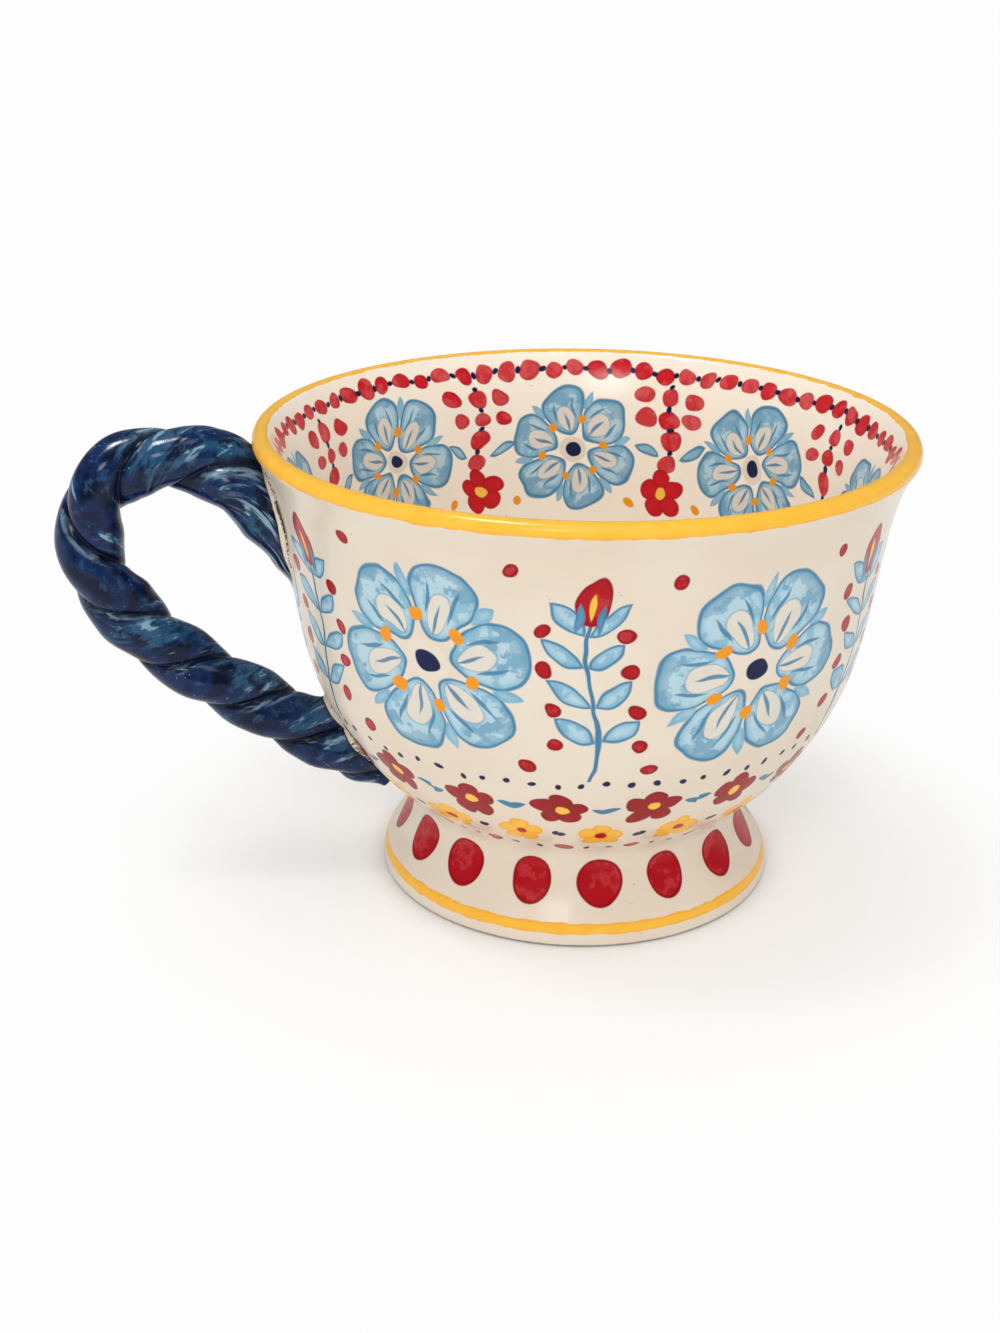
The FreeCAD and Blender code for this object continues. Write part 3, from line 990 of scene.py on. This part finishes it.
def outside_glaze():
    material, tree, glaze, _ = new_material("outside_glaze")
    wall = Wall(tree)
    art = cream_glaze(wall)

    number, x, y = wall.row(*BLOSSOM_ROW, salt=3.5)
    blossom(art, x, y, BLOSSOM_SIZE, shift(number, 8.5, 0.7))
    red_spot(art, dot(abs(x) - CORNER_DOT[0], abs(y + 0.5) - CORNER_DOT[1], CORNER_DOT[2]))
    number, x, y = wall.row(*SPRIG_ROW)
    sprig(art, x, y, number)

    _, x, y = wall.row(*RED_FLORET_ROW, salt=1.5)
    floret(art, x, y, RED_FLORET_SIZE, (RED_FLORET, RED_DEEP), YELLOW)
    art.lay(BLUE_LINE, blade(abs(x), y + 2.2 - abs(x) * 0.30, *FLORET_LEAF))
    _, x, y = wall.row(*NAVY_DOT_ROW, salt=2.5)
    art.lay(NAVY, dot(x, y, ROW_DOT))
    _, x, y = wall.row(*YELLOW_FLORET_ROW, salt=5.5)
    floret(art, x, y, YELLOW_FLORET_SIZE, (YELLOW, YELLOW_DEEP), RED)
    art.lay(NAVY, dot(abs(x) - 6.7, y + 0.5, 0.75))
    _, x, y = wall.row(*RED_DOT_ROW)
    red_spot(art, dot(x, y, 1.5))
    art.lay(NAVY, dot(abs(x) - 3.9, y - 0.5, SMALL_DOT))

    number, x = wall.cells(*FOOT_OVALS, steady=0.65)
    half_across, half_up = FOOT_OVAL_SIZE
    across = (x + shift(number, 4.5, 0.8)) / (shift(number, 2.5, 0.5) + half_across)
    up = (wall.height - FOOT_OVAL_HEIGHT) / half_up
    red_spot(art, (1.0 - length(across, up)) * half_across)

    edge = (wall.grain - 0.5) * 0.25 + (wall.tone - 0.5) * 0.9
    middle, half_height = FOOT_BAND
    yellow_band(art, half_height - abs(wall.height - middle) + edge)
    # Painted contact shadow: a dark line round the foot's lower edge
    contact_shadow = CONTACT_SHADOW_HEIGHT - wall.height + (wall.grain - 0.5) * 0.3
    art.tint(CONTACT_SHADOW_PAINT, ramp(contact_shadow, -0.12, 0.12) * 0.9)
    yellow_band(art, RIM_BAND - wall.from_crest + edge)
    finish_wall(glaze, wall, art, OUTSIDE_GLOSS)
    return material


def inside_glaze():
    material, tree, glaze, _ = new_material("inside_glaze")
    wall = Wall(tree)
    # Lighter creams here: painted light on the inside
    art = cream_glaze(wall, CREAM_INSIDE_PAINTED_LIGHT, CREAM_INSIDE_WARM_PAINTED_LIGHT)

    number, x, y = wall.row(*INNER_BEAD_ROW, salt=1.5)
    red_spot(art, oval(x, y, 1.95, 1.8) + shift(number, 6.5, 0.5), chance(number, 2.5))
    _, x, y = wall.row(*INNER_NAVY_ROW)
    art.lay(NAVY, dot(x, y, ROW_DOT))
    number, x, y = wall.row(*INNER_BLOSSOM_ROW, salt=3.5)
    blossom(art, x, y, INNER_BLOSSOM_SIZE, shift(number, 8.5, 0.8))

    number, x = wall.cells(*STRINGS)
    x = x - (wall.down * 0.35 + number * 1.3).sine() * 0.7
    side = abs(x)
    rung, y = wall.rungs(STRING_TOP, STRING_PITCH, 3.0)
    bead_number = number + rung * 9.0
    bead = oval(x, y, 2.0, 1.85) + shift(bead_number, 6.5, 0.4)
    red_spot(art, bead, chance(bead_number, 2.5))
    rung, y = wall.rungs(STRING_TOP, STRING_PITCH, 1.0)
    bead_number = number + rung * 9.0
    bead = oval(side - STRING_SIDE + rung, y, 1.9, 1.75) + shift(bead_number, 6.5, 0.4)
    red_spot(art, bead, chance(bead_number, 4.5))
    rung, y = wall.rungs(STRING_TOP - STRING_PITCH / 2.0, STRING_PITCH, 4.0)
    art.lay(NAVY, dot(x, y, SMALL_DOT))
    # The pendant's lighter red is painted light for the inside
    floret(art, x, wall.down - PENDANT_DOWN, PENDANT_SIZE, (RED_PAINTED_LIGHT_INSIDE, RED), YELLOW)
    blue_shape(art, blade(side, wall.down - STRING_LEAF_DOWN + side * 0.5, *STRING_LEAF))
    art.lay(ORANGE, dot(side - 7.2, wall.down - STRING_ORANGE_DOWN, 0.95))

    number, x, y = wall.row(*LOW_BEAD_ROW)
    hanging = (number * (2.0 * math.pi * STRINGS[0] / LOW_BEAD_ROW[0])).cosine() * 1.6
    red_spot(art, dot(x, y - hanging, 2.1), chance(number, 2.5))
    _, x, y = wall.row(*LOW_NAVY_ROW)
    art.lay(NAVY, dot(x, y, SMALL_DOT))
    _, x, y = wall.row(*LOW_LEAF_ROW)
    blue_shape(art, blade(y, x, *LOW_LEAF))
    _, x, y = wall.row(*LOW_ORANGE_ROW)
    art.lay(ORANGE, dot(x, y, 1.1))
    x, y, _ = parts(wall.place)
    blossom(art, x, y, FLOOR_BLOSSOM_SIZE)

    edge = (wall.grain - 0.5) * 0.4 + (wall.tone - 0.5) * 0.8
    yellow_band(art, INNER_RIM_BAND - wall.from_crest + edge)
    finish_wall(glaze, wall, art, INSIDE_GLOSS)
    return material


def underside_glaze():
    """Plain glaze in the hollow, and bare clay on the ring that the cup stands on."""
    material, tree, glaze, _ = new_material("underside_glaze")
    wall = Wall(tree)
    art = cream_glaze(wall)
    bare = 0.55 - wall.height + (wall.grain - 0.5) * 0.5
    art.lay(painted(CLAY, CLAY_DARK, ramp(wall.grain, 0.3, 0.7)), bare)
    finish_glaze(glaze, wall.place, art.colour, stroke_edge(bare) * 0.6 + 0.14, INSIDE_GLOSS)
    return material


# Where the handle's glaze changes, in millimetres from the leaf's tip or up from the table
LEAF_STREAKS = (27.0, 18.0)     # the leaf's streaks fade in between these
TIP_CLAY = (3.0, 11.0)          # smeared clay shows from here on
END_CLAY = (131.0, 122.0)       # and as far as this
TOP_CLAY = (83.0, 76.0)         # and below this height


def handle_glaze():
    """Navy glaze: nearly black in the creases and darker where the rope meets the wall, partly pooled glaze
    and partly painted shade; broken to steel blue in torn patches on the upper sides, and pale where the
    brush left it thin."""
    material, tree, glaze, _ = new_material("handle_glaze")
    place = place_in_mm(tree)
    strand = kept(tree, "strand")["Vector"]
    from_tip = parts(strand)[0]
    height = parts(place)[2]
    from_crease = kept_number(tree, "from_crease")
    gap = kept_number(tree, "wall_gap")
    upward = parts(new_node(tree, "TexCoord").outputs["Normal"])[2]
    patches = cloud(scaled(strand, (0.085, 0.11, 0.11)), 1.0, 2.5, 0.5, 1.0)
    torn = cloud(scaled(strand, (0.60, 0.85, 0.85)), 1.0, 4.0, 0.62, 0.5)
    smears = cloud(scaled(strand, (0.13, 0.21, 0.21)), 1.2, 2.5, 0.55, 1.2)
    streak = cloud(scaled(strand, (0.05, 0.62, 0.62)), 1.0, 3.0, 0.6, 0.35)
    clouds = cloud(place, 0.20)
    mottle = cloud(place, 0.42, 4.0, 0.66, 0.5)
    speckle = cloud(place, 1.9, 1.0)
    slow = cloud(place, 0.11, 1.0)
    ragged = (torn - 0.5) * 0.22

    art = Painting(HANDLE_NAVY)
    art.tint(HANDLE_DEEP, ramp(clouds + ragged, 0.54, 0.38) * 0.85)
    broken = ramp(patches + ragged + upward * 0.10, 0.535, 0.635)
    steel = painted(HANDLE_STEEL, HANDLE_TEAL, ramp(clouds, 0.42, 0.58))
    art.tint(steel, broken * 0.85)
    art.tint(HANDLE_DEEP, broken * ramp(smears - ragged, 0.43, 0.37) * 0.85)
    art.tint(HANDLE_PALE, broken * ramp(smears + ragged, 0.585, 0.64) * 0.85)
    thin_edge = ramp(from_crease, 0.56, 0.40) * ramp(smears + ragged, 0.50, 0.60)
    art.tint(HANDLE_PALE, thin_edge * ramp(upward, -0.1, 0.5) * 0.55)
    # Darker in the creases: partly pooled glaze, partly painted shade
    art.tint(HANDLE_DEEP, ramp(from_crease + ragged + (clouds - 0.5) * 0.4, 0.42, 0.08) * 0.92)
    off_crease = ramp(from_crease, 0.20, 0.45)
    art.tint(HANDLE_STEEL, ramp(mottle + upward * 0.05, 0.56, 0.68) * off_crease * 0.45)
    art.tint(HANDLE_DEEP, ramp(mottle, 0.46, 0.36) * 0.70)
    on_leaf = ramp(from_tip, *LEAF_STREAKS)
    art.tint(HANDLE_DEEP, ramp(streak, 0.46, 0.38) * on_leaf * 0.75)
    art.tint(HANDLE_PALE, ramp(streak + ragged * 0.3, 0.54, 0.60) * on_leaf * 0.90)
    art.tint(HANDLE_PALE, ramp(speckle, 0.725, 0.75) * ramp(clouds, 0.46, 0.60) * 0.6)
    art.tint(HANDLE_DEEP, ramp(speckle, 0.285, 0.255) * 0.8)

    bare = ramp(from_tip, *TIP_CLAY) * ramp(height, *TOP_CLAY) * ramp(from_tip, *END_CLAY)
    edge = gap - 0.15 - bare * (0.9 + (slow - 0.5) * 2.0) - (clouds - 0.5) * 0.4
    # Darker where the rope meets the wall: partly pooled glaze, partly painted shade in the joint
    art.tint(HANDLE_DEEP, ramp(edge, 0.9, 0.15) * 0.7)
    ground = painted(CREAM, CREAM_WARM, ramp(clouds, 0.3, 0.7))
    art.tint(ground, ramp(edge, 0.10, -0.10))
    leftover = 0.10 - abs(gap - 0.30) + (speckle - 0.56) * 0.9
    art.tint(NAVY, ramp(leftover, -0.03, 0.03) * ramp(edge, -0.2, -0.4) * 0.85)
    finish_glaze(glaze, place, art.colour, ramp(torn, 0.3, 0.75) * 0.12 + 0.11, HANDLE_GLOSS)
    return material


# Stage, light and camera

FLOOR_COLOUR = colour(252, 252, 251)
BACKDROP = colour(254, 254, 254)
SKY = colour(255, 254, 252)
FLOOR_SIZE = 4.0
FLOOR_ROUGHNESS = 0.9
SHADOW_REACH = (50.0, 105.0)    # the shadow fades out between these distances from the cup's axis
CONTACT_REACH = (FOOT_RADIUS - 1.0, FOOT_RADIUS + 5.0)  # the dark line under the foot fades between these
SHADOW_THINNED = 0.40           # how much of the backdrop's white lies over the floor by the cup
HORIZON_LEVEL = 1.0
ZENITH_LEVEL = 0.61
ZENITH_FROM = 0.75
GLOSS_LEVEL = 0.20
LAMP_AIM = (0.0, 0.0, 0.04)
# Soft round lamps: place, width, height, power in watts, and whether only reflections show the lamp
LAMPS = {
    "key_light": ((-0.36, -0.06, 1.20), 0.40, 0.40, 1.2, False),
    "key_middle": ((-0.355, -0.059, 1.18), 0.12, 0.12, 1.1, False),
    "gloss_light": ((-0.355, -0.059, 1.16), 0.30, 0.30, 7.0, True),
    "fill_light": ((0.08, -0.50, 1.16), 0.5, 0.4, 1.6, False),
    "front_light": ((-0.36, -0.95, 0.75), 0.34, 0.30, 2.6, False),
}


def make_world():
    """Studio light that is brightest near the horizon, with the backdrop's white behind the cup."""
    world = bpy.data.worlds.new("studio")
    world.use_nodes = True
    tree = world.node_tree
    tree.nodes.clear()
    rays = new_node(tree, "LightPath")
    glossy = Number(rays.outputs["Is Glossy Ray"])
    upward = parts(new_node(tree, "TexCoord").outputs["Generated"])[2]
    level = ramp(upward, 0.0, ZENITH_FROM) * (ZENITH_LEVEL - HORIZON_LEVEL) + HORIZON_LEVEL
    level = level * (1.0 - glossy) + glossy * GLOSS_LEVEL
    light = new_node(tree, "Background", Color=SKY, Strength=level)
    seen = new_node(tree, "Background", Color=BACKDROP)
    mixed(new_node(tree, "OutputWorld"), rays.outputs["Is Camera Ray"], light, seen)
    bpy.context.scene.world = world


def make_floor():
    """A pale floor that keeps the cup's shadow and runs out into the backdrop's white."""
    mesh = bpy.data.meshes.new("floor")
    corners = [(x * FLOOR_SIZE, y * FLOOR_SIZE, 0) for x, y in ((-1, -1), (1, -1), (1, 1), (-1, 1))]
    mesh.from_pydata(corners, [], [(0, 1, 2, 3)])
    floor = bpy.data.objects.new("floor", mesh)
    bpy.context.scene.collection.objects.link(floor)
    material, tree, paint, output = new_material("floor_paint")
    feed_named(paint, Base_Color=FLOOR_COLOUR, Roughness=FLOOR_ROUGHNESS, Specular_IOR_Level=0.0)
    far = new_node(tree, "Emission", Color=BACKDROP)
    x, y, _ = parts(place_in_mm(tree))
    reach = length(x, y)
    away = ramp(reach, *SHADOW_REACH) * (1.0 - SHADOW_THINNED)
    away = away + ramp(reach, *CONTACT_REACH) * SHADOW_THINNED
    seen = Number(new_node(tree, "LightPath").outputs["Is Camera Ray"])
    mixed(output, away * seen, paint, far)
    mesh.materials.append(material)


def add_lamp(name, place, width, height, power, gloss_only):
    data = bpy.data.lights.new(name, "AREA")
    data.shape = "ELLIPSE"
    data.size = width
    data.size_y = height
    data.energy = power
    lamp = bpy.data.objects.new(name, data)
    lamp.visible_diffuse = not gloss_only
    bpy.context.scene.collection.objects.link(lamp)
    lamp.location = place
    lamp.rotation_euler = (Vector(LAMP_AIM) - Vector(place)).to_track_quat("-Z", "Y").to_euler()


def make_camera():
    data = bpy.data.cameras.new("camera")
    data.sensor_fit = "VERTICAL"
    data.sensor_height = CAMERA_FILM
    data.lens = CAMERA_LENS
    data.clip_start = CAMERA_NEAR
    camera = bpy.data.objects.new("camera", data)
    bpy.context.scene.collection.objects.link(camera)
    turn = Matrix.Rotation(CAMERA_TURN, 4, "Z")
    aim = Matrix.Translation(Vector(CAMERA_AIM) * MM)
    tilt = Matrix.Rotation(math.pi / 2.0 - CAMERA_TILT, 4, "X")
    back = Matrix.Translation((0.0, 0.0, CAMERA_DISTANCE * MM))
    camera.matrix_world = turn @ aim @ tilt @ back @ Matrix.Rotation(CAMERA_ROLL, 4, "Z")
    bpy.context.scene.camera = camera


# The scene

bowl = make_bowl()
for material in (inside_glaze(), outside_glaze(), underside_glaze()):
    bowl.data.materials.append(material)
handle = make_handle()
handle.data.materials.append(handle_glaze())
make_world()
make_floor()
for lamp_name, settings in LAMPS.items():
    add_lamp(lamp_name, *settings)
make_camera()
bpy.context.scene.view_settings.view_transform = "Standard"
